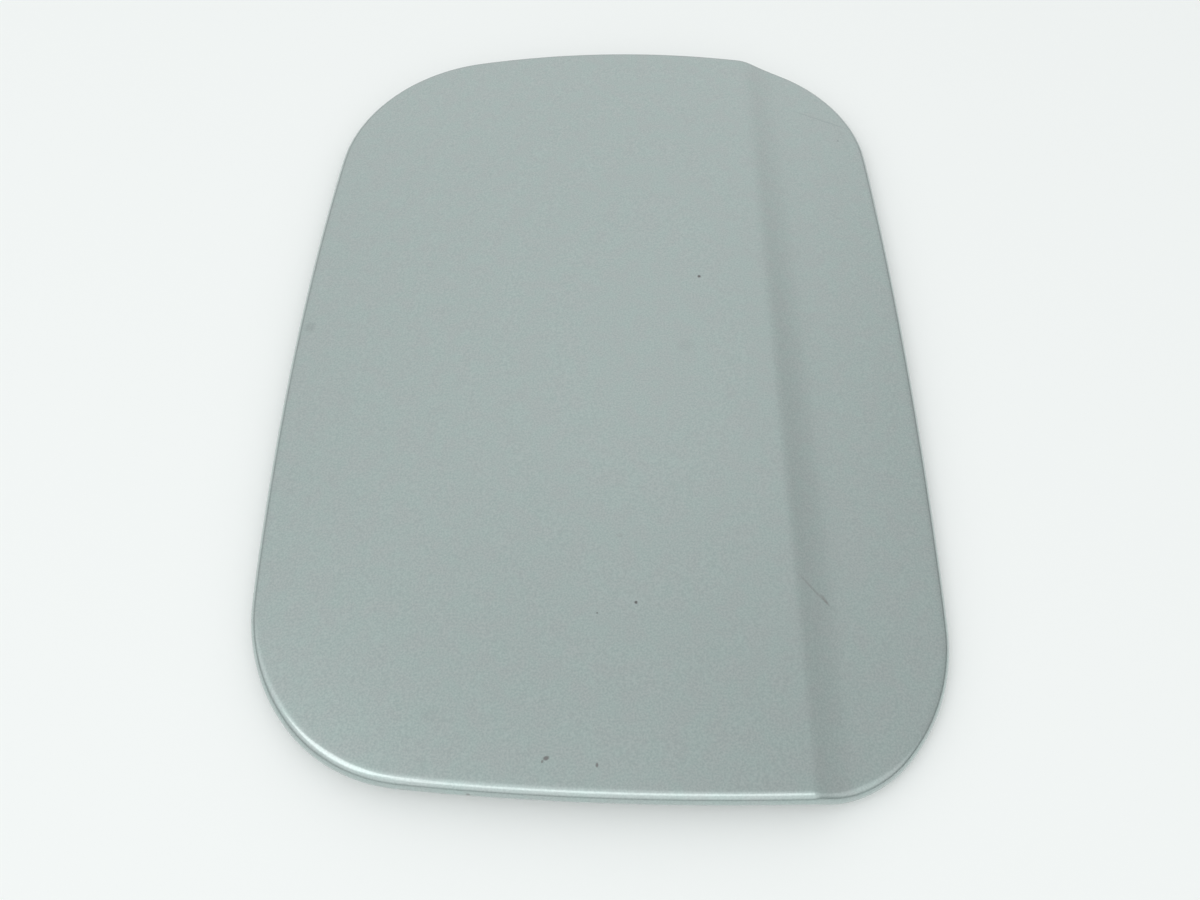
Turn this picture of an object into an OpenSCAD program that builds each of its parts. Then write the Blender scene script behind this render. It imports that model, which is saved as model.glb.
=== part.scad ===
// Fuel door for a car: a pressed outer skin hemmed round a pressed inner panel.
// It lies face up on its four rubber buffers. X is the width, Y the length, Z is up.
// The hinge end is at +Y, the lock end at -Y, and the floor is at Z = 0.

/* [Door outline] */
// Width over the two long sides
door_w = 148; // [140:1:160]
// Length along the middle
door_l = 211.5; // [200:0.5:220]
// How far the left side bows out over the full length
left_bow = 5.8; // [3:0.1:8]
// How far the right side bows out over the full length
right_bow = 3.3; // [2.5:0.1:6]
// How far the near end bows out over the full width
near_bow = 4.7; // [3:0.1:8]
// How far the far end bows out over the full width
far_bow = 9.8; // [5:0.1:11]
// Slant of the near end, in degrees
near_slant = -1.2; // [-2:0.1:2]
// Slant of the far end, in degrees
far_slant = 3.2; // [-3.5:0.1:3.5]
// Corner radius beside the near end, left
near_left_r = 35.5; // [32:0.5:40]
// Corner radius beside the near end, right
near_right_r = 28; // [26:0.5:34]
// Corner radius, far left
far_left_r = 43.5; // [36:0.5:46]
// Corner radius, far right
far_right_r = 39.5; // [36:0.5:44]
// How many times wider the near left corner curves beside the long side
near_left_spread = 1.2; // [1:0.05:1.4]
// How many times wider the near right corner curves beside the long side
near_right_spread = 1.5; // [1:0.05:1.6]

/* [Outer face] */
// Rise of the face across the width
crown_w = 3.2; // [1.5:0.1:4]
// Rise of the face along the length
crown_l = 1.7; // [1:0.1:3.5]
// Rise of the main face from the left side to the right
face_lift = 1.75; // [1:0.05:2.2]
// Place of the crease, right of the middle
crease_x = 40.8; // [36:0.1:44]
// Depth of the step at the near end
step_near = 2.5; // [1.2:0.1:2.8]
// Depth of the step at the far end
step_far = 1.7; // [0.8:0.1:2.4]
// Width of the step's hollow run-out at the near end
fade_near = 9.5; // [8:0.5:11]
// Width of the step's hollow run-out at the far end
fade_far = 9.5; // [8:0.5:11]
// Half width of the rounding on the crease at the near end
edge_near = 1.1; // [0.6:0.1:1.8]
// Half width of the rounding on the crease at the far end
edge_far = 2.3; // [1:0.1:2.6]

/* [Hem] */
// Thickness of the outer sheet
skin_t = 0.8; // [0.6:0.05:0.9]
// Thickness of the rolled rim
rim_t = 3.6; // [3.4:0.1:4.4]
// Radius of the shoulder, from the face round to the side
rim_r = 2.2; // [1.8:0.05:2.4]
// Width of the folded-back strip
hem_w = 9; // [7:0.5:10]
// Film of adhesive on each side of the inner sheet
film = 0.1; // [0.08:0.01:0.15]
// Height of the lowest part of the rim over the floor
rim_lift = 0.6; // [0.4:0.1:1]

/* [Inner panel] */
// Thickness of the inner sheet
panel_t = 0.7; // [0.6:0.05:0.8]
// Width of the flat flange, from the rim's edge
flange_w = 13; // [12.5:0.5:15]
// Width of the slope from the flange to the raised field
slope_w = 6; // [4:0.5:6.5]
// Distance of the sunk tray from each long side
tray_side = 41; // [40:0.5:45]
// Distance of the sunk tray from each end
tray_end = 55.75; // [53.5:0.25:61]
// Depth of the tray
tray_d = 3.1; // [2.4:0.1:3.2]
// Width of the tray's sloped wall
tray_slope = 4; // [3:0.5:5]
// Squareness of the tray's outline
tray_square = 4.5; // [3:0.5:6]
// Radius of the four lightening holes
light_r = 8; // [5:0.5:9]
// Radius of the drain holes
drain_r = 2.5; // [1.5:0.25:3]

/* [Hinge pad] */
// Distance of the hinge screws from the far end
hinge_end = 34.75; // [33:0.25:36]
// Distance between the two hinge screws
hinge_pitch = 30; // [24:1:34]
// Radius of the M5 thread's core
thread_r = 2.1; // [2:0.05:2.2]
// Radius of the clearance holes in the panel
screw_clear_r = 3; // [2.6:0.1:3.4]
// Thickness of the tapping plate
tap_plate_t = 2.4; // [1.6:0.1:2.6]
// Width of the tapping plate
tap_plate_w = 16; // [12:0.5:18]

/* [Catch] */
// Distance of the catch from the near end
catch_end = 34.25; // [33.25:0.25:35]
// Width of the pocket that the lock tongue enters
pocket_w = 15; // [12:0.5:18]
// Length of the pocket
pocket_l = 22; // [19:0.5:23]
// Depth of the pocket
pocket_d = 3.7; // [3.4:0.1:3.8]
// Thickness of the bridge
bridge_t = 1.2; // [0.8:0.1:1.4]
// Width of the bridge
bridge_w = 8; // [6:0.5:9]
// Distance from the pocket's side to the rivet
rivet_off = 5.5; // [4.5:0.5:6]
// Radius of the rivets
rivet_r = 1.6; // [1.2:0.1:1.8]

/* [Buffers] */
// Height of the buffers below the panel
buffer_h = 2.2; // [2:0.1:2.4]
// Radius of the buffer's head
buffer_r = 6.5; // [5:0.25:7]
// Radius of the buffer's stem
stem_r = 2.5; // [2:0.25:3]

/* [Cap hook] */
// Length of the hook's base plate
hook_l = 30; // [24:1:34]
// Width of the hook
hook_w = 12; // [9:0.5:14]
// Wall of the hook
hook_t = 1.2; // [1:0.1:1.3]

/* [Hidden] */

// Facets of a full circle
$fn = 48;
// Steps of the mesh: along half a corner, over the left field, over the crease,
// from the crease to the right corner's middle, and along a long side
corner_steps = 6;
field_steps = 7;
crease_marks = [-1, -0.45, 0, 0.45, 1];
fade_marks = [0.36, 0.55, 0.77, 1];
right_steps = 4;
side_steps = 6;
// Steps round the shoulder, round the inside of the roll, and down a pressed slope
shoulder_steps = 6;
inner_steps = 4;
slope_steps = 5;

paint = [0.66, 0.72, 0.71];
primer = [0.56, 0.61, 0.60];
zinc = [0.70, 0.71, 0.70];
rubber = [0.10, 0.10, 0.10];
sealer = [0.60, 0.62, 0.60];
nylon = [0.16, 0.16, 0.17];

// The outline: four long arcs joined by corners. A far corner is one arc, a near
// corner is two: the one beside the long side is the wider.

function arc_radius(chord, rise) = (chord * chord / 4 + rise * rise) / (2 * rise);
left_arc_r = arc_radius(door_l, left_bow);
right_arc_r = arc_radius(door_l, right_bow);
near_arc_r = arc_radius(door_w, near_bow);
far_arc_r = arc_radius(door_w, far_bow);
left_arc_c = [left_arc_r - door_w / 2, 0];
right_arc_c = [door_w / 2 - right_arc_r, 0];
near_arc_c = [-near_arc_r * sin(near_slant), near_arc_r * cos(near_slant) - door_l / 2];
far_arc_c = [far_arc_r * sin(far_slant), door_l / 2 - far_arc_r * cos(far_slant)];

// Centre of an arc that touches two other arcs from inside
function corner_centre(c1, r1, c2, r2) =
    let (d = norm(c2 - c1), u = (c2 - c1) / d)
    let (a = (r1 * r1 - r2 * r2 + d * d) / (2 * d))
    c1 + u * a + [-u.y, u.x] * sqrt(r1 * r1 - a * a);

// The middles of the corners, where a near corner changes from one arc to the other
near_left_mid = -135;
near_right_mid = -45;
far_right_mid = 45;
far_left_mid = 135;
near_left_side_r = near_left_r * near_left_spread;
near_right_side_r = near_right_r * near_right_spread;
function arc_shift(side_r, end_r, mid) = (side_r - end_r) * [cos(mid), sin(mid)];
near_left_shift = arc_shift(near_left_side_r, near_left_r, near_left_mid);
near_right_shift = arc_shift(near_right_side_r, near_right_r, near_right_mid);
near_left_side_c = corner_centre(left_arc_c, left_arc_r - near_left_side_r,
                                 near_arc_c - near_left_shift, near_arc_r - near_left_r);
near_right_side_c = corner_centre(near_arc_c - near_right_shift, near_arc_r - near_right_r,
                                  right_arc_c, right_arc_r - near_right_side_r);
near_left_c = near_left_side_c + near_left_shift;
near_right_c = near_right_side_c + near_right_shift;
far_right_c = corner_centre(right_arc_c, right_arc_r - far_right_r,
                            far_arc_c, far_arc_r - far_right_r);
far_left_c = corner_centre(far_arc_c, far_arc_r - far_left_r,
                           left_arc_c, left_arc_r - far_left_r);

function heading(v) = atan2(v.y, v.x);
near_left_end = heading(near_left_c - near_arc_c);
near_left_start = heading(near_left_side_c - left_arc_c);
near_right_start = heading(near_right_c - near_arc_c);
near_right_end = heading(near_right_side_c - right_arc_c);
far_right_start = heading(far_right_c - right_arc_c);
far_right_end = heading(far_right_c - far_arc_c);
far_left_start = heading(far_left_c - far_arc_c);
far_left_end = heading(far_left_c - left_arc_c);

// A point on an arc with its outward direction
function on_arc(c, r, a) = [c + r * [cos(a), sin(a)], [cos(a), sin(a)]];
function arc_run(c, r, a0, a1, n) = [for (i = [0:n]) on_arc(c, r, a0 + (a1 - a0) * i / n)];

// The point of the near (-1) or far (+1) edge at a given x
function edge_at(x, end) =
    let (left_c = end < 0 ? near_left_c : far_left_c)
    let (left_r = end < 0 ? near_left_r : far_left_r)
    let (right_c = end < 0 ? near_right_c : far_right_c)
    let (right_r = end < 0 ? near_right_r : far_right_r)
    let (long_c = end < 0 ? near_arc_c : far_arc_c)
    let (long_r = end < 0 ? near_arc_r : far_arc_r)
    let (left_x = left_c.x + left_r * cos(end < 0 ? near_left_end : far_left_start))
    let (right_x = right_c.x + right_r * cos(end < 0 ? near_right_start : far_right_end))
    let (c = x < left_x ? left_c : x > right_x ? right_c : long_c)
    let (r = x < left_x ? left_r : x > right_x ? right_r : long_r)
    on_arc(c, r, end * acos((x - c.x) / r));

function fade_at(end) = end < 0 ? fade_near : fade_far;
function edge_round_at(end) = end < 0 ? edge_near : edge_far;
function crease_xs(end) = concat(
    [for (m = crease_marks) crease_x + m * edge_round_at(end)],
    [for (m = fade_marks) crease_x + m * fade_at(end)]);

// The near and far edges, from the middle of the left corner to that of the right one
function cross_edge(end, left_mid, right_mid) =
    let (c = end < 0 ? near_left_c : far_left_c, r = end < 0 ? near_left_r : far_left_r)
    let (a = end < 0 ? near_left_end : far_left_start)
    let (rc = end < 0 ? near_right_c : far_right_c, rr = end < 0 ? near_right_r : far_right_r)
    let (xs = crease_xs(end), x0 = c.x + r * cos(a), x1 = xs[len(xs) - 1])
    let (right_a = end * acos((x1 - rc.x) / rr))
    concat(arc_run(c, r, left_mid, a, corner_steps),
           [for (i = [1:field_steps - 1]) edge_at(x0 + (xs[0] - x0) * i / field_steps, end)],
           [for (x = xs) edge_at(x, end)],
           [for (i = [1:right_steps])
               on_arc(rc, rr, right_a + (right_mid - right_a) * i / right_steps)]);

// The two long sides, from the middle of the near corner to that of the far one
function long_edge(c0, r0, a0, a1, cm, rm, b0, b1, c1, r1, e0, e1) =
    let (first = arc_run(c0, r0, a0, a1, corner_steps))
    let (middle = arc_run(cm, rm, b0, b1, side_steps))
    let (last = arc_run(c1, r1, e0, e1, corner_steps))
    concat(first, [for (i = [1:side_steps - 1]) middle[i]], last);

near_edge = cross_edge(-1, near_left_mid, near_right_mid);
far_edge = cross_edge(1, far_left_mid, far_right_mid);
right_edge = long_edge(
    near_right_side_c, near_right_side_r, near_right_mid, near_right_end,
    right_arc_c, right_arc_r, near_right_end, far_right_start,
    far_right_c, far_right_r, far_right_start, far_right_mid);
left_edge = long_edge(
    near_left_side_c, near_left_side_r, 360 + near_left_mid, 360 + near_left_start,
    left_arc_c, left_arc_r, 360 + near_left_start, far_left_end,
    far_left_c, far_left_r, far_left_end, far_left_mid);

// The whole outline as one loop, counter-clockwise from the near left corner
nx = len(near_edge) - 1;
ny = len(left_edge) - 1;
loop_n = 2 * (nx + ny);
function cell_of(i) =
    i < nx ? [i, 0] :
    i < nx + ny ? [nx, i - nx] :
    i < 2 * nx + ny ? [2 * nx + ny - i, ny] : [0, loop_n - i];
function edge_point(cell) =
    cell.y == 0 ? near_edge[cell.x] :
    cell.y == ny ? far_edge[cell.x] :
    cell.x == 0 ? left_edge[cell.y] : right_edge[cell.y];
loop = [for (i = [0:loop_n - 1]) edge_point(cell_of(i))];

// Height of the outer face: two crowns and a lift, less the step right of the crease

function mix(a, b, t) = a + (b - a) * t;
function along(p) = p.y / door_l + 0.5;
// Share of the step reached at a place u across the fade, with the edge rounded over e
function step_share(u, e) =
    u <= -e ? 0 :
    u < e ? (2 - e) * (u + e) * (u + e) / (4 * e) :
    u < 1 ? 1 - (1 - u) * (1 - u) : 1;
function step_drop(p) =
    let (fade = mix(fade_near, fade_far, along(p)))
    let (rounding = mix(edge_near, edge_far, along(p)))
    mix(step_near, step_far, along(p)) * step_share((p.x - crease_x) / fade, rounding / fade);
function face_shape(p) =
    crown_w * (1 - pow(2 * p.x / door_w, 2)) + crown_l * (1 - pow(2 * p.y / door_l, 2))
    + face_lift * p.x / door_w - step_drop(p);
rest_h = rim_lift + rim_t - min([for (q = loop) face_shape(q[0])]);
function face_z(p) = rest_h + face_shape(p);

// A point of the rim's section: s outward from the outline, h up from the face
function rim_point(i, s, h) =
    let (p = loop[i][0] + loop[i][1] * s)
    [p.x, p.y, face_z(p) + h];

// The field inside the shoulder: a grid whose columns run along the crease

shoulder_ring = 1.2;
face_inset = rim_r + shoulder_ring;
function inset_point(q) = q[0] - q[1] * face_inset;
crease_first = corner_steps + field_steps;
crease_last = crease_first + len(crease_marks) + len(fade_marks) - 1;
function left_share(k) =
    (left_edge[k][0].y - left_edge[0][0].y) / (left_edge[ny][0].y - left_edge[0][0].y);
// A patch between two columns of the grid, blended from its four edges
function crease_column(j, k) =
    mix(inset_point(near_edge[j]), inset_point(far_edge[j]), left_share(k));
function side_point(j, k) =
    j == 0 ? inset_point(left_edge[k]) :
    j == nx ? inset_point(right_edge[k]) : crease_column(j, k);
function patch_point(j, k, j0, j1) =
    let (u = (near_edge[j][0].x - near_edge[j0][0].x) / (near_edge[j1][0].x - near_edge[j0][0].x))
    let (v = left_share(k))
    let (near = inset_point(near_edge[j]), far = inset_point(far_edge[j]))
    mix(side_point(j0, k), side_point(j1, k), u) + mix(near, far, v)
    - mix(mix(inset_point(near_edge[j0]), inset_point(near_edge[j1]), u),
          mix(inset_point(far_edge[j0]), inset_point(far_edge[j1]), u), v);
function field_point(j, k) =
    j <= crease_first ? patch_point(j, k, 0, crease_first) :
    j < crease_last ? crease_column(j, k) : patch_point(j, k, crease_last, nx);
function at_height(p, h) = [p.x, p.y, face_z(p) + h];

// Sections of the hem, as [outward, up] from the outline on the face

fold_h = skin_t + 2 * film + panel_t;
roll_run = 2.2;
// Part of an oval round the middle of the roll, with half axes across and up
function oval_section(across, up, a0, a1, n, from) =
    [for (i = [from:n])
        let (a = a0 + (a1 - a0) * i / n)
        [across * cos(a) - rim_r, up * sin(a) - rim_r]];
roll_up = rim_t - rim_r;
inside_r = rim_r - skin_t;
hem_section = concat(
    oval_section(rim_r, rim_r, 90, 0, shoulder_steps, 0),
    oval_section(rim_r, roll_up, 0, -90, shoulder_steps, 1),
    [[-rim_r - roll_run, -fold_h - skin_t],
     [-hem_w, -fold_h - skin_t],
     [-hem_w, -fold_h],
     [-rim_r - roll_run, -fold_h]],
    oval_section(inside_r, roll_up - skin_t, -90, 0, inner_steps, 0),
    oval_section(inside_r, inside_r, 0, 90, inner_steps, 1));
hem_rings = len(hem_section);

grid_n = (nx + 1) * (ny + 1);
function grid_index(cell) = cell.y * (nx + 1) + cell.x;
function ring_quads(a, b, n) =
    [for (i = [0:n - 1]) let (m = (i + 1) % n) [a[i], a[m], b[m], b[i]]];

module outer_skin() {
    top = [for (k = [0:ny]) for (j = [0:nx]) at_height(field_point(j, k), 0)];
    hem = [for (r = [0:hem_rings - 1]) for (i = [0:loop_n - 1])
              rim_point(i, hem_section[r][0], hem_section[r][1])];
    under = [for (p = top) p - [0, 0, skin_t]];
    hem_from = grid_n;
    under_from = grid_n + hem_rings * loop_n;
    top_rim = [for (i = [0:loop_n - 1]) grid_index(cell_of(i))];
    under_rim = [for (g = top_rim) under_from + g];
    rings = concat(
        [top_rim],
        [for (r = [0:hem_rings - 1]) [for (i = [0:loop_n - 1]) hem_from + r * loop_n + i]],
        [under_rim]);
    grid_faces = [for (k = [0:ny - 1]) for (j = [0:nx - 1])
        let (a = grid_index([j, k]), b = grid_index([j + 1, k]))
        let (c = grid_index([j + 1, k + 1]), d = grid_index([j, k + 1]))
        [d, c, b, a]];
    faces = concat(
        grid_faces,
        [for (f = grid_faces) [for (m = [3:-1:0]) under_from + f[m]]],
        [for (r = [0:len(rings) - 2]) for (q = ring_quads(rings[r], rings[r + 1], loop_n)) q]);
    color(paint) polyhedron(points = concat(top, hem, under), faces = faces, convexity = 10);
}

// The inner panel: flange in the hem, a slope down to a flat field, and a sunk tray

panel_z = buffer_h;
function smooth(t) = t * t * (3 - 2 * t);
flange_play = 0.6;
flange_edge = rim_r + flange_play;
flange_h = skin_t + film;
// A point of the panel's upper side at a distance s inside the outline
function slope_point(i, q) =
    let (foot = rim_point(i, -flange_w, -flange_h))
    let (p = loop[i][0] - loop[i][1] * (flange_w + slope_w * q))
    [p.x, p.y, mix(foot.z, panel_z + panel_t, smooth(q))];
// The tray's outline is a square-shouldered oval
tray_a = door_w / 2 - tray_side;
tray_b = door_l / 2 - tray_end;
function tray_point(i, inset, q) =
    let (a = tray_a - inset, b = tray_b - inset)
    let (t = atan2(loop[i][0].y * b / door_l, loop[i][0].x * a / door_w))
    let (r = pow(pow(abs(cos(t)) / a, tray_square) + pow(abs(sin(t)) / b, tray_square),
                 -1 / tray_square))
    [r * cos(t), r * sin(t), panel_z + panel_t + tray_d * smooth(q)];

module pressed_panel() {
    ring_i = [0:loop_n - 1];
    upper = concat(
        [[for (i = ring_i) rim_point(i, -flange_edge, -flange_h)]],
        [[for (i = ring_i) rim_point(i, -(flange_edge + flange_w) / 2, -flange_h)]],
        [for (m = [0:slope_steps]) [for (i = ring_i) slope_point(i, m / slope_steps)]],
        [for (m = [0:slope_steps])
            [for (i = ring_i) tray_point(i, tray_slope * m / slope_steps, m / slope_steps)]]);
    lower = [for (m = [len(upper) - 1:-1:0]) [for (p = upper[m]) p - [0, 0, panel_t]]];
    all = concat(lower, upper);
    n = len(all);
    faces = concat(
        [[for (i = ring_i) i]],
        [[for (i = [loop_n - 1:-1:0]) (n - 1) * loop_n + i]],
        [for (r = [0:n - 2]) for (i = ring_i)
            let (m = (i + 1) % loop_n)
            [r * loop_n + i, (r + 1) * loop_n + i, (r + 1) * loop_n + m, r * loop_n + m]]);
    polyhedron(points = [for (r = all) for (p = r) p], faces = faces, convexity = 10);
}

// Plain shapes that several pieces share

module rounded_rect(w, l, r) {
    square([w - 2 * r, l], center = true);
    square([w, l - 2 * r], center = true);
    for (x = [-1, 1], y = [-1, 1])
        translate([x * (w / 2 - r), y * (l / 2 - r)]) circle(r = r);
}
module rounded_plate(w, l, r, t) {
    linear_extrude(t) rounded_rect(w, l, r);
}
module post(p, r, z0, z1) {
    translate([p.x, p.y, z0]) cylinder(r = r, h = z1 - z0);
}
// A round hole through the inner sheet, whose underside is at z
module sheet_hole(p, r, z) {
    post(p, r, z - 1, z + panel_t + 1);
}

// Places on the panel

panel_top = panel_z + panel_t;
tray_z = panel_z + tray_d;
pad_r = 4.5;
pad_margin = 1.5;
peg_inset = 4;
peg_r = 1.8;
peg_fit = 0.05;
drain_out = 5;
drain_back = 2;
light_share_x = 0.56;
light_share_y = 0.63;
pad_share = 0.7;
hinge_y = door_l / 2 - hinge_end;
catch_y = door_l / 2 - catch_end;
function mirrored_x(x, y) = [[-x, y], [x, y]];
hinge_places = mirrored_x(hinge_pitch / 2, hinge_y);
rivet_places = mirrored_x(pocket_w / 2 + rivet_off, -catch_y);
peg_places = mirrored_x(hook_l / 2 - peg_inset, 0);
light_places = [for (x = [-1, 1], y = [-1, 1])
    [x * (tray_a - tray_slope) * light_share_x, y * (tray_b - tray_slope) * light_share_y]];
pad_places = concat([for (side = [-1, 1]) side * [tray_a - tray_slope - pad_r - pad_margin,
                                                 hook_w / 2 + pad_r + pad_margin]],
                    [for (y = [-1, 1]) [0, y * (tray_b - tray_slope) * pad_share]]);
drain_places = [for (x = [-1, 1], y = [-1, 1])
    [x * (tray_a + drain_out), y * (tray_b - drain_back)]];

// The buffers stand in the corners, clear of the slope
buffer_gap = 1;
function buffer_place(c, r, a) =
    c + (r - flange_w - slope_w - buffer_r - buffer_gap) * [cos(a), sin(a)];
buffer_near_left_p = buffer_place(near_left_c, near_left_r, near_left_mid);
buffer_near_right_p = buffer_place(near_right_c, near_right_r, near_right_mid);
buffer_far_left_p = buffer_place(far_left_c, far_left_r, far_left_mid);
buffer_far_right_p = buffer_place(far_right_c, far_right_r, far_right_mid);
buffer_places = [buffer_near_left_p, buffer_near_right_p,
                 buffer_far_left_p, buffer_far_right_p];

// Half-round stiffening beads beside the tray
bead_r = 3;
bead_short = 13;
bead_out = 11.5;
bead_l = 2 * (tray_b - bead_short);
bead_x = tray_a + bead_out;
module bead(r) {
    for (x = [-bead_x, bead_x]) {
        translate([x, bead_l / 2, panel_z]) rotate([90, 0, 0]) cylinder(r = r, h = bead_l);
        for (y = [-1, 1]) translate([x, y * bead_l / 2, panel_z]) sphere(r = r);
    }
}
module above(z) {
    translate([-door_w, -door_l, z]) cube([2 * door_w, 2 * door_l, door_w]);
}

pocket_corner = 3;
module pocket(grow, z0, z1) {
    translate([0, -catch_y, z0])
        rounded_plate(pocket_w + 2 * grow, pocket_l + 2 * grow, pocket_corner + grow, z1 - z0);
}

module inner_panel() {
    color(primer) difference() {
        union() {
            pressed_panel();
            pocket(panel_t, panel_z, panel_z + pocket_d + panel_t);
            intersection() {
                bead(bead_r);
                above(panel_z);
            }
        }
        pocket(0, panel_z - 1, panel_z + pocket_d);
        bead(bead_r - panel_t);
        for (p = hinge_places) sheet_hole(p, screw_clear_r, panel_z);
        for (p = rivet_places) sheet_hole(p, rivet_r + rivet_fit, panel_z);
        for (p = buffer_places) sheet_hole(p, stem_r + stem_fit, panel_z);
        for (p = drain_places) sheet_hole(p, drain_r, panel_z);
        for (p = light_places) sheet_hole(p, light_r, tray_z);
        for (p = peg_places) sheet_hole(p, peg_r + peg_fit, tray_z);
    }
}

// A closed ring of one section carried round the outline
module outline_ring(section) {
    n = len(section);
    points = [for (i = [0:loop_n - 1]) for (q = section) rim_point(i, q[0], q[1])];
    faces = [for (i = [0:loop_n - 1]) for (k = [0:n - 1])
        let (m = (i + 1) % loop_n, j = (k + 1) % n)
        [i * n + k, i * n + j, m * n + j, m * n + k]];
    polyhedron(points = points, faces = faces, convexity = 10);
}

// A bead of sealer fills the step from the folded strip to the inner sheet
sealer_w = 1.7;
sealer_lap = 1.2;
sealer_h = 0.45;
sealer_film = 0.05;
module seam_sealer() {
    strip_h = -fold_h - skin_t - sealer_film;
    sheet_h = -flange_h - panel_t - sealer_film;
    color(sealer) outline_ring([
        [sealer_lap - hem_w, strip_h],
        [-hem_w - sealer_film, strip_h],
        [-hem_w - sealer_film, sheet_h],
        [-hem_w - sealer_w, sheet_h],
        [-hem_w - sealer_w / 3, strip_h - sealer_h]]);
}

// The threaded plate behind the hinge pad
plate_corner = 3;
module tapping_plate() {
    color(zinc) difference() {
        translate([0, hinge_y, panel_top])
            rounded_plate(hinge_pitch + tap_plate_w, tap_plate_w, plate_corner, tap_plate_t);
        for (p = hinge_places) post(p, thread_r, panel_top - 1, panel_top + tap_plate_t + 1);
    }
}

// The bridge over the lock pocket, with its middle set down by a joggle

joggle = 0.6;
rivet_fit = 0.05;
foot_end = 5;
foot_start = 2.2;
foot_flat = 0.5;
module catch_bridge() {
    reach = pocket_w / 2 + rivet_off + foot_end;
    outer = pocket_w / 2 + foot_start;
    inner = pocket_w / 2 + foot_start - 2 * joggle;
    half = [[0, -joggle], [inner, -joggle], [outer, 0], [reach, 0],
            [reach, -bridge_t], [outer, -bridge_t], [inner, -joggle - bridge_t],
            [0, -joggle - bridge_t]];
    left = [for (i = [len(half) - 2:-1:1]) [-half[i].x, half[i].y]];
    color(zinc) difference() {
        intersection() {
            translate([0, bridge_w / 2 - catch_y, panel_z]) rotate([90, 0, 0])
                linear_extrude(bridge_w) polygon(concat(half, left));
            translate([0, -catch_y, 0])
                rounded_plate(2 * reach, bridge_w, bridge_w / 2 - foot_flat, panel_z + 1);
        }
        for (p = rivet_places) post(p, rivet_r + rivet_fit, 0, panel_z + 1);
    }
}

head_over = 1.1;
tail_over = 0.8;
head_t = 0.7;
module catch_rivets() {
    foot_z = panel_z - bridge_t;
    color(zinc) for (p = rivet_places) {
        post(p, rivet_r, foot_z, panel_top);
        translate([p.x, p.y, foot_z - head_t])
            cylinder(r1 = rivet_r + head_over / 2, r2 = rivet_r + head_over, h = head_t);
        translate([p.x, p.y, panel_top])
            cylinder(r1 = rivet_r + tail_over, r2 = rivet_r + tail_over / 3, h = head_t);
    }
}

// A push-in rubber buffer: head under the panel, barb above it
stem_fit = 0.05;
barb_over = 0.8;
barb_h = 1.3;
edge_cut = 0.5;
module buffer(p) {
    barb_r = stem_r + barb_over;
    color(rubber) translate([p.x, p.y, 0]) rotate_extrude()
        polygon([[0, 0], [buffer_r - edge_cut, 0], [buffer_r, edge_cut], [buffer_r, panel_z],
                 [stem_r, panel_z], [stem_r, panel_top], [barb_r, panel_top],
                 [barb_r, panel_top + edge_cut / 2], [stem_r - barb_over / 2, panel_top + barb_h],
                 [0, panel_top + barb_h]]);
}
module buffer_near_left() { buffer(buffer_near_left_p); }
module buffer_near_right() { buffer(buffer_near_right_p); }
module buffer_far_left() { buffer(buffer_far_left_p); }
module buffer_far_right() { buffer(buffer_far_right_p); }

// Dabs of mastic between the tray and the outer skin
pad_film = 0.2;
module flutter_pads() {
    floor_z = tray_z + panel_t;
    color(sealer) for (p = pad_places) {
        corners = [for (a = [0:45:315]) p + pad_r * [cos(a), sin(a)]];
        skin_z = min([for (c = corners) face_z(c)]) - skin_t - pad_film;
        post(p, pad_r, floor_z, skin_z);
    }
}

// The moulded hook that holds the filler cap's strap
hook_floor = 0.3;
hook_mouth_w = 14;
hook_corner = 3;
peg_barb = 0.6;
peg_h = 1.2;
lip_short = 1;
module cap_hook() {
    lip_gap = tray_z - hook_floor - 2 * hook_t;
    lip_l = hook_w - lip_short;
    color(nylon) {
        translate([0, 0, tray_z - hook_t]) rounded_plate(hook_l, hook_w, hook_corner, hook_t);
        translate([-hook_mouth_w / 2, -hook_w / 2, hook_floor])
            cube([hook_mouth_w, hook_t, lip_gap + 2 * hook_t]);
        translate([-hook_mouth_w / 2, -hook_w / 2, hook_floor])
            cube([hook_mouth_w, lip_l, hook_t]);
        translate([-hook_mouth_w / 2, lip_l - hook_w / 2 - hook_t / 2, hook_floor + hook_t])
            rotate([0, 90, 0]) cylinder(r = hook_t / 2, h = hook_mouth_w);
        for (p = peg_places) {
            post(p, peg_r, tray_z - hook_t / 2, tray_z + panel_t);
            translate([p.x, p.y, tray_z + panel_t])
                cylinder(r1 = peg_r + peg_barb, r2 = peg_r - peg_barb, h = peg_h);
        }
    }
}

outer_skin();
inner_panel();
seam_sealer();
tapping_plate();
catch_bridge();
catch_rivets();
buffer_near_left();
buffer_near_right();
buffer_far_left();
buffer_far_right();
flutter_pads();
cap_hook();
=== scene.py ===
"""A painted car fuel door, lying face up on a pale table.

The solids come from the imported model. This script rounds the painted skin, breaks the
square edges of the small pieces, gives every piece its finish, and sets the table, the
light and the camera of the photograph.
Lengths are in metres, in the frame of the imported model: X across, Y along, Z up.
"""
import math

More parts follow.
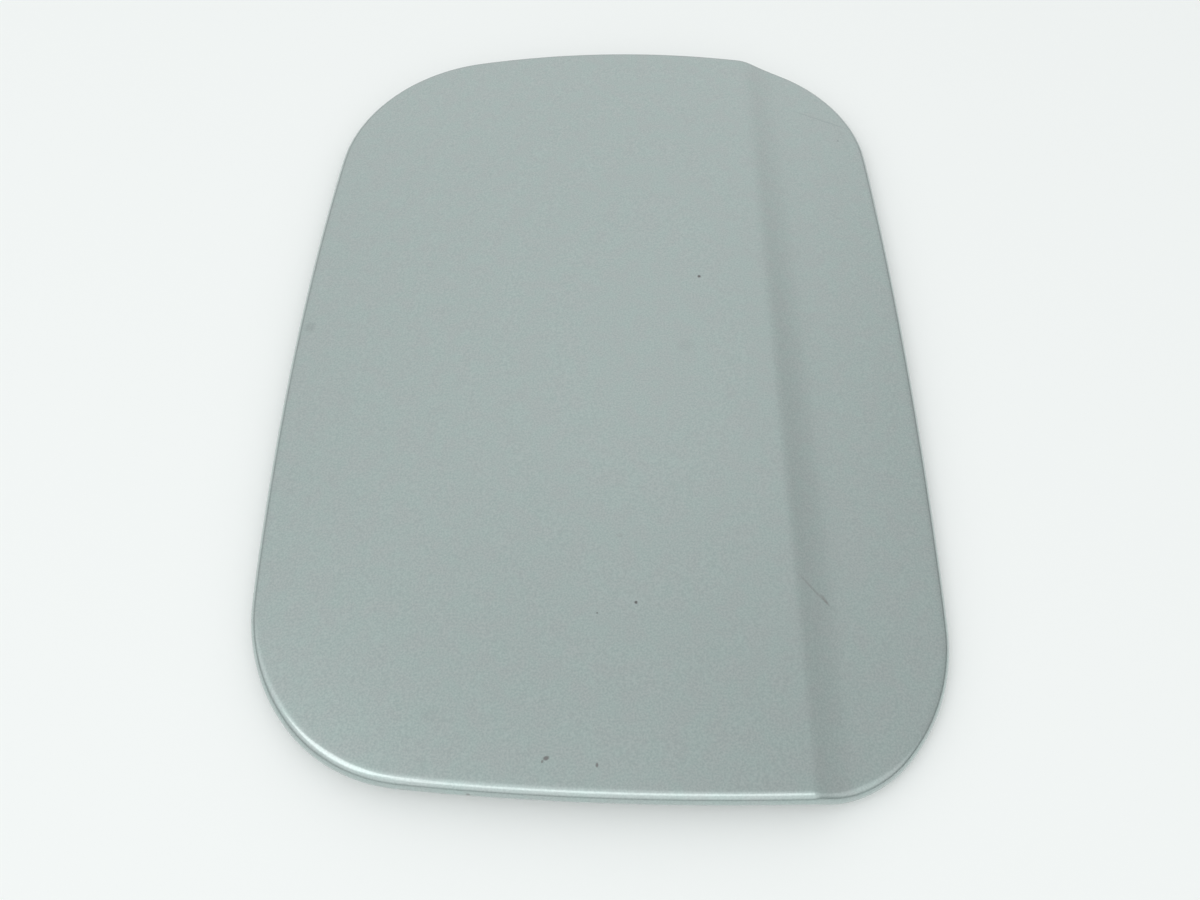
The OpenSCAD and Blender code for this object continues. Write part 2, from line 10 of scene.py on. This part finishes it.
import bpy
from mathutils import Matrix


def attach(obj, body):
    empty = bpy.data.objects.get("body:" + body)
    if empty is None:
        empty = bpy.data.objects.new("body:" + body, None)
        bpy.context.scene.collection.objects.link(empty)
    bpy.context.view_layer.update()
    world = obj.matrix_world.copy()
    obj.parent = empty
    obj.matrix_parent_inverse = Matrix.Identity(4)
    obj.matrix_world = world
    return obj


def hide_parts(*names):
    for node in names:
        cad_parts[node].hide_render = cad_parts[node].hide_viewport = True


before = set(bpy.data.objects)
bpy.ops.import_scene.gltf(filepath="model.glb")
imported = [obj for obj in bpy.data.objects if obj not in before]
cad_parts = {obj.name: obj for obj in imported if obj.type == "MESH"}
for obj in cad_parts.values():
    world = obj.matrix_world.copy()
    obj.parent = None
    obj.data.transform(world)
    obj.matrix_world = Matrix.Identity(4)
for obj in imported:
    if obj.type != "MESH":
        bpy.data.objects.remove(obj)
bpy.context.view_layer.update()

MM = 0.001

# The camera, as fitted to the edge of the door in the photograph; turns in degrees
CAMERA_PLACE = (-3.457 * MM, -141.644 * MM, 192.616 * MM)
CAMERA_TURN = (30.874, -1.385, 0.740)
LENS = 29.1
SENSOR = 36.0
NEAREST_SEEN = 10 * MM

# Work on the meshes; angles in degrees
MERGE_GAP = 0.002 * MM
FLAT_WITHIN = 0.2
HEM_FOLD = 60
SKIN_SHADING = 50
SKIN_ROUNDS = 2
SQUARE_EDGE = 50
EDGE_SEGMENTS = 2


# Helpers for working on one mesh at a time

def pick(piece):
    """Makes a piece the only selected and active object."""
    bpy.ops.object.select_all(action="DESELECT")
    piece.select_set(True)
    bpy.context.view_layer.objects.active = piece


def open_mesh(piece, selection="SELECT"):
    """Edit mode on one piece, with all of its mesh selected, or with none of it."""
    pick(piece)
    bpy.ops.object.mode_set(mode="EDIT")
    bpy.ops.mesh.select_all(action=selection)


def close_mesh():
    """Back to object mode, with nothing of the mesh left selected."""
    bpy.ops.mesh.select_all(action="DESELECT")
    bpy.ops.object.mode_set(mode="OBJECT")


def merged_copy(node, name):
    """A copy of a CAD node with its loose triangles merged into one surface."""
    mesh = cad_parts[node].data.copy()
    mesh.name = name
    mesh.materials.clear()
    piece = bpy.data.objects.new(name, mesh)
    bpy.context.scene.collection.objects.link(piece)
    open_mesh(piece)
    bpy.ops.mesh.remove_doubles(threshold=MERGE_GAP)
    bpy.ops.mesh.tris_convert_to_quads()
    close_mesh()
    return piece


def smooth(piece, degrees):
    """Smooth shading, but for the edges where the surface turns by more than this."""
    pick(piece)
    bpy.ops.object.shade_smooth_by_angle(angle=math.radians(degrees))
    piece.select_set(False)


def stand_for(piece, node, material):
    """The piece takes the node's place, its finish and its body."""
    piece.data.materials.append(material)
    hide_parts(node)
    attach(piece, "root")


# Helpers for the node trees of the materials and the room

def feed(tree, socket, value):
    """Gives a socket a number or a colour, or links an output to it."""
    if isinstance(value, (int, float, tuple)):
        socket.default_value = value
    else:
        tree.links.new(value, socket)


def fade(tree, value, start, end, top=1.0, curve="LINEAR"):
    """The share that a value stands for: 0 at start, top at end."""
    share = tree.nodes.new("ShaderNodeMapRange")
    share.interpolation_type = curve
    share.inputs["From Min"].default_value = start
    share.inputs["From Max"].default_value = end
    share.inputs["To Max"].default_value = top
    tree.links.new(value, share.inputs["Value"])
    return share.outputs["Result"]


def join(tree, operation, first, second):
    """A Math node of two outputs or numbers."""
    node = tree.nodes.new("ShaderNodeMath")
    node.operation = operation
    feed(tree, node.inputs[0], first)
    feed(tree, node.inputs[1], second)
    return node.outputs["Value"]


def noise(tree, place, grain, detail):
    """Soft noise with this many grains to the metre."""
    node = tree.nodes.new("ShaderNodeTexNoise")
    node.inputs["Scale"].default_value = grain
    node.inputs["Detail"].default_value = detail
    tree.links.new(place, node.inputs["Vector"])
    return node.outputs["Fac"]


def tones(tree, value, first, last, start=0.3, end=0.7):
    """A colour that goes from the first tone at start to the last one at end."""
    node = tree.nodes.new("ShaderNodeValToRGB")
    low_stop, high_stop = node.color_ramp.elements
    high_stop.position = end
    high_stop.color = (*last, 1.0)
    low_stop.position = start
    low_stop.color = (*first, 1.0)
    tree.links.new(value, node.inputs["Fac"])
    return node.outputs["Color"]


def blend(tree, kind, amount, base, other):
    """Mixes two colours; amount is a number or an output."""
    node = tree.nodes.new("ShaderNodeMix")
    node.data_type = "RGBA"
    node.blend_type = kind
    feed(tree, node.inputs["Factor"], amount)
    feed(tree, node.inputs["A"], base)
    feed(tree, node.inputs["B"], other)
    return node.outputs["Result"]


def relief(tree, shader, height, depth, strength):
    """Fine bumps in the surface, from a height between 0 and 1."""
    bump = tree.nodes.new("ShaderNodeBump")
    bump.inputs["Distance"].default_value = depth
    bump.inputs["Strength"].default_value = strength
    tree.links.new(height, bump.inputs["Height"])
    tree.links.new(bump.outputs["Normal"], shader.inputs["Normal"])


def start_material(name):
    """A new material, its tree, its shader, and the place of each point on the piece."""
    material = bpy.data.materials.new(name)
    material.use_nodes = True
    tree = material.node_tree
    shader = tree.nodes["Principled BSDF"]
    place = tree.nodes.new("ShaderNodeTexCoord").outputs["Object"]
    return material, tree, shader, place


# The outer paint: two tones of metallic flake, tinted in soft clouds and a little
# uneven from the spray gun; grains to the metre
FLAKE_DARK = (0.3125, 0.396, 0.3835)
FLAKE_LIGHT = (0.385, 0.478, 0.465)
FLAKE_GRAIN = 2600.0
CLOUD_GREEN = (0.968, 1.0, 0.987)
CLOUD_RED = (1.0, 0.97, 0.973)
CLOUD_GRAIN = 240.0
PEEL_GRAIN = 420.0
PEEL_DEPTH = 0.02 * MM

# Marks on the paint and a faint darker streak: middle and half size in mm, turn in degrees,
# strength, colour.
# The speck on the rim has a height and a half height too.
DARK = (0.03, 0.03, 0.03)
RUST = (0.09, 0.045, 0.035)
SCUFF = (0.07, 0.058, 0.055)
MARKS = [
    ((23.4, 18.6), (0.42, 0.42), 0, 1.0, DARK),
    ((7.3, -67.4), (0.33, 0.33), 0, 0.95, DARK),
    ((-0.5, -69.8), (0.22, 0.22), 0, 0.6, DARK),
    ((65.0, 73.2), (0.3, 0.3), 0, 0.35, DARK),
    ((-9.6, -98.3), (0.6, 0.42), 20, 0.8, SCUFF),
    ((-10.3, -98.9), (0.3, 0.25), 60, 0.6, SCUFF),
    ((-0.1, -99.4), (0.28, 0.42), 0, 0.75, SCUFF),
    ((19.4, -2.8), (2.2, 1.8), 30, 0.07, DARK),
    ((-32.0, -90.5), (1.9, 1.3), 0, 0.07, DARK),
    ((-70.6, 2.6), (1.3, 1.5), 0, 0.16, DARK),
    ((44.5, -63.4), (4.8, 0.3), -44, 0.22, RUST),
    ((46.4, -64.9), (0.35, 1.3), 35, 0.3, RUST),
    ((4.0, -52.6), (0.9, 0.5), 10, 0.1, RUST),
    # A faint darker streak across the far right of the face
    ((60.8, 81.5), (9.0, 0.3), -22, 0.14, DARK),
    ((-23.8, -104.7, 5.7), (0.45, 0.4, 0.5), 0, 0.6, SCUFF),
]

# A mark without a height of its own goes right through, 1000 mm up and down. It starts
# at 1.25 of its half size and has its full strength from 0.6 inwards.
THROUGH = 1000
MARK_OUTER = 1.25
MARK_INNER = 0.6

# The marks fade out where the hem folds under, as the surface stops facing upwards
FOLD_OUT = 0.0
FOLD_IN = 0.2


def in_space(values, third):
    """Three lengths in metres, from three in mm, or from two and a third one."""
    return [value * MM for value in (*values, third)[:3]]


def mark(tree, place, centre, half_size, turn, strength):
    """The share of a mark at each point: a soft-edged oval, as seen from above."""
    local = tree.nodes.new("ShaderNodeMapping")
    local.vector_type = "TEXTURE"
    local.inputs["Location"].default_value = in_space(centre, 0)
    local.inputs["Rotation"].default_value = (0, 0, math.radians(turn))
    local.inputs["Scale"].default_value = in_space(half_size, THROUGH)
    tree.links.new(place, local.inputs["Vector"])
    reach = tree.nodes.new("ShaderNodeVectorMath")
    reach.operation = "LENGTH"
    tree.links.new(local.outputs["Vector"], reach.inputs[0])
    return fade(tree, reach.outputs["Value"], MARK_OUTER, MARK_INNER, top=strength)


def upper_side(tree):
    """1 on the outer face, 0 on the strip of the hem that is folded back under it."""
    normal = tree.nodes.new("ShaderNodeTexCoord").outputs["Normal"]
    parts = tree.nodes.new("ShaderNodeSeparateXYZ")
    tree.links.new(normal, parts.inputs["Vector"])
    return fade(tree, parts.outputs["Z"], FOLD_OUT, FOLD_IN)


def metallic_paint():
    """Metallic flake under a clear coat, with the marks that the photograph shows."""
    material, tree, shader, place = start_material("metallic_paint")
    flake = noise(tree, place, FLAKE_GRAIN, detail=1.0)
    body = tones(tree, flake, FLAKE_DARK, FLAKE_LIGHT)
    cloud = noise(tree, place, CLOUD_GRAIN, detail=2.0)
    shade = tones(tree, cloud, CLOUD_GREEN, CLOUD_RED, start=0.35, end=0.65)
    clean = blend(tree, "MULTIPLY", 1.0, body, shade)
    marked = clean
    for centre, half_size, turn, strength, tint in MARKS:
        share = mark(tree, place, centre, half_size, turn, strength)
        marked = blend(tree, "MIX", share, marked, (*tint, 1.0))
    colour = blend(tree, "MIX", upper_side(tree), clean, marked)
    tree.links.new(colour, shader.inputs["Base Color"])
    shader.inputs["Metallic"].default_value = 0.9
    shader.inputs["Roughness"].default_value = 0.3
    shader.inputs["Coat Weight"].default_value = 1.0
    shader.inputs["Coat Roughness"].default_value = 0.04
    shader.inputs["Coat IOR"].default_value = 2.2
    peel = noise(tree, place, PEEL_GRAIN, detail=2.0)
    relief(tree, shader, peel, PEEL_DEPTH, strength=0.25)
    return material


def mottled(name, darker, lighter, patches, metallic, roughness, bumps, detail, depth, strength):
    """A finish of two close tones in soft patches, with fine bumps in the surface.

    patches and bumps are the grains to the metre of the two, and depth is in metres.
    """
    material, tree, shader, place = start_material(name)
    tint = tones(tree, noise(tree, place, patches, detail=3.0), darker, lighter)
    tree.links.new(tint, shader.inputs["Base Color"])
    shader.inputs["Metallic"].default_value = metallic
    shader.inputs["Roughness"].default_value = roughness
    relief(tree, shader, noise(tree, place, bumps, detail), depth, strength)
    return material


def thin_paint():
    """The thin, duller coat on the inner sheet, with a trace of orange peel."""
    return mottled(
        "thin_paint", (0.318, 0.382, 0.369), (0.365, 0.436, 0.421),
        patches=70.0, metallic=0.35, roughness=0.48,
        bumps=500.0, detail=2.0, depth=0.03 * MM, strength=0.4)


def sealer_paint():
    """Paint over the sealer bead, which was drawn along by hand and is a little wavy."""
    return mottled(
        "sealer_paint", (0.345, 0.41, 0.396), (0.39, 0.462, 0.446),
        patches=160.0, metallic=0.1, roughness=0.42,
        bumps=260.0, detail=1.0, depth=0.25 * MM, strength=0.5)


def zinc_plate():
    """Zinc-plated steel: faintly yellow and blue patches and a fine rolled grain."""
    return mottled(
        "zinc_plate", (0.47, 0.475, 0.48), (0.6, 0.595, 0.56),
        patches=220.0, metallic=0.95, roughness=0.36,
        bumps=1500.0, detail=3.0, depth=0.02 * MM, strength=0.35)


def rivet_steel():
    """Plain steel, slightly rough from the setting tool."""
    return mottled(
        "rivet_steel", (0.4, 0.4, 0.395), (0.52, 0.515, 0.5),
        patches=500.0, metallic=0.95, roughness=0.32,
        bumps=1200.0, detail=2.0, depth=0.02 * MM, strength=0.4)


def black_rubber():
    """Matte black rubber of the four stops."""
    return mottled(
        "black_rubber", (0.017, 0.017, 0.018), (0.03, 0.03, 0.031),
        patches=350.0, metallic=0.0, roughness=0.68,
        bumps=1800.0, detail=3.0, depth=0.04 * MM, strength=0.5)


def grey_mastic():
    """Foamed mastic with an uneven, slightly blistered skin."""
    return mottled(
        "grey_mastic", (0.22, 0.22, 0.213), (0.33, 0.33, 0.318),
        patches=400.0, metallic=0.0, roughness=0.85,
        bumps=700.0, detail=3.0, depth=0.3 * MM, strength=0.6)


def black_nylon():
    """Moulded nylon with the fine spark texture of its tool."""
    return mottled(
        "black_nylon", (0.028, 0.028, 0.03), (0.04, 0.04, 0.042),
        patches=250.0, metallic=0.0, roughness=0.44,
        bumps=2600.0, detail=2.0, depth=0.03 * MM, strength=0.5)


# Pieces

def painted_skin(material):
    """The hemmed outer skin, with the facets of its solid rounded off."""
    skin = merged_copy("outer_skin", "painted_skin")
    open_mesh(skin, "DESELECT")
    bpy.ops.mesh.edges_select_sharp(sharpness=math.radians(HEM_FOLD))
    bpy.ops.transform.edge_crease(value=1.0)
    close_mesh()
    rounding = skin.modifiers.new("rounding", "SUBSURF")
    rounding.levels = SKIN_ROUNDS
    rounding.render_levels = SKIN_ROUNDS
    bpy.ops.object.modifier_apply(modifier=rounding.name)
    smooth(skin, SKIN_SHADING)
    stand_for(skin, "outer_skin", material)


def joined_flats(piece):
    """Joins the slivers that make up each flat face of the solid into one face."""
    open_mesh(piece)
    bpy.ops.mesh.dissolve_limited(angle_limit=math.radians(FLAT_WITHIN))
    close_mesh()


def broken_edges(piece, width):
    """Takes the knife sharpness off the piece's square edges."""
    pick(piece)
    edge = piece.modifiers.new("edge", "BEVEL")
    edge.width = width
    edge.segments = EDGE_SEGMENTS
    edge.limit_method = "ANGLE"
    edge.angle_limit = math.radians(SQUARE_EDGE)
    bpy.ops.object.modifier_apply(modifier=edge.name)


def even_shading(piece):
    """Lets the wide flat faces set the shading, so that they look flat up to their bends."""
    pick(piece)
    even = piece.modifiers.new("even_shading", "WEIGHTED_NORMAL")
    even.keep_sharp = True
    bpy.ops.object.modifier_apply(modifier=even.name)


def dressed(node, name, material, shading=35, edge=0.0):
    """One hidden piece: its solid, cleaned up, shaded, and with its square edges broken."""
    piece = merged_copy(node, name)
    joined_flats(piece)
    if edge:
        broken_edges(piece, edge)
    smooth(piece, shading)
    even_shading(piece)
    stand_for(piece, node, material)


def pieces():
    """All twelve pieces, each in its finish; the two zinc pieces and the four stops share
    theirs.
    """
    painted_skin(metallic_paint())
    dressed("inner_panel", "pressed_panel", thin_paint())
    dressed("seam_sealer", "sealer_bead", sealer_paint(), shading=60)
    zinc = zinc_plate()
    dressed("tapping_plate", "threaded_plate", zinc, edge=0.2 * MM)
    dressed("catch_bridge", "lock_bridge", zinc, edge=0.15 * MM)
    dressed("catch_rivets", "bridge_rivets", rivet_steel())
    rubber = black_rubber()
    for corner in ("near_left", "near_right", "far_left", "far_right"):
        dressed("buffer_" + corner, "stop_" + corner, rubber)
    dressed("flutter_pads", "mastic_dabs", grey_mastic(), edge=0.4 * MM)
    dressed("cap_hook", "strap_hook", black_nylon(), edge=0.15 * MM)


# The table, the light and the camera

TABLE_COLOUR = (0.88, 0.913, 0.904, 1.0)
TABLE_SIZE = 6.0

# The room: the ways that its parts lie, the strength of the even light from all round,
# and what each part adds to that or takes from it
UP = (0, 0, 1)
TO_WINDOW = (-0.25, -1, 0)
TO_LEFT = (-0.9, 0, 0.44)
TO_RIGHT = (0.9, 0, 0.44)
WHITE = (1.0, 1.0, 1.0, 1.0)
ROOM = 0.872
WINDOW = 0.293
LOW_BAND = -0.484
LEFT_WALL = -0.089
RIGHT_WALL = -0.238
OVERHEAD = -0.128

# The softboxes: name, place, the point that it faces, width, height and power in watts
SOFTBOXES = [
    ("softbox_left", (-0.68, -0.38, 0.99), (-0.05, -0.09, 0), 0.6, 0.6, 1.4),
    ("softbox_front", (0.08, -0.73, 1.01), (0, -0.1, 0), 1.15, 0.36, 1.05),
]


def table():
    """The pale, almost matte surface that the door lies on."""
    bpy.ops.mesh.primitive_plane_add(size=TABLE_SIZE, location=(0, 0, 0))
    top = bpy.context.object
    top.name = "table_top"
    material, _, shader, _ = start_material("pale_table")
    shader.inputs["Base Color"].default_value = TABLE_COLOUR
    shader.inputs["Roughness"].default_value = 0.7
    shader.inputs["Specular IOR Level"].default_value = 0.1
    top.data.materials.append(material)


def softbox(name, place, aim, width, height, power):
    """A lamp with a rectangular face, turned towards the point aim."""
    data = bpy.data.lights.new(name, "AREA")
    data.shape = "RECTANGLE"
    data.size = width
    data.size_y = height
    data.energy = power
    light = bpy.data.objects.new(name, data)
    bpy.context.scene.collection.objects.link(light)
    light.location = place
    x, y, z = (end - start for end, start in zip(aim, place))
    tilt = math.atan2(math.hypot(x, y), -z)
    light.rotation_euler = (tilt, 0, math.atan2(y, x) - math.pi / 2)
    light.visible_camera = False


def sky_share(tree, direction, facing, start, end):
    """The share of a part of the room that lies the way of facing.

    start and end are where it begins and where it is full, measured from 0, square to
    facing, to 1, straight along it.
    """
    turn = tree.nodes.new("ShaderNodeVectorMath")
    turn.operation = "DOT_PRODUCT"
    turn.inputs[1].default_value = facing
    tree.links.new(direction, turn.inputs[0])
    return fade(tree, turn.outputs["Value"], start, end, curve="SMOOTHSTEP")


def studio():
    """A soft room with two softboxes in it.

    A wide window wall is behind the camera. The side walls, the ceiling and the low
    band all round are dimmer.
    """
    world = bpy.data.worlds.new("studio")
    bpy.context.scene.world = world
    world.use_nodes = True
    tree = world.node_tree
    direction = tree.nodes.new("ShaderNodeTexCoord").outputs["Generated"]
    behind = sky_share(tree, direction, TO_WINDOW, start=-0.06, end=0.1)
    raised = sky_share(tree, direction, UP, start=0.12, end=0.42)
    parts = [
        (join(tree, "MULTIPLY", behind, raised), WINDOW),
        (sky_share(tree, direction, UP, start=0.34, end=0.05), LOW_BAND),
        (sky_share(tree, direction, TO_LEFT, start=0.4, end=1.0), LEFT_WALL),
        (sky_share(tree, direction, TO_RIGHT, start=0.4, end=1.0), RIGHT_WALL),
        (sky_share(tree, direction, UP, start=0.84, end=1.0), OVERHEAD),
    ]
    light = ROOM
    for share, strength in parts:
        light = join(tree, "ADD", join(tree, "MULTIPLY", share, strength), light)
    back = tree.nodes["Background"]
    back.inputs["Color"].default_value = WHITE
    tree.links.new(light, back.inputs["Strength"])
    for box in SOFTBOXES:
        softbox(*box)


def photo_camera():
    """The camera of the photograph."""
    data = bpy.data.cameras.new("photo_camera")
    data.sensor_width = SENSOR
    data.lens = LENS
    data.clip_start = NEAREST_SEEN
    camera = bpy.data.objects.new("photo_camera", data)
    bpy.context.scene.collection.objects.link(camera)
    camera.location = CAMERA_PLACE
    camera.rotation_euler = [math.radians(angle) for angle in CAMERA_TURN]
    bpy.context.scene.camera = camera


pieces()
table()
studio()
photo_camera()
bpy.context.scene.view_settings.view_transform = "Standard"
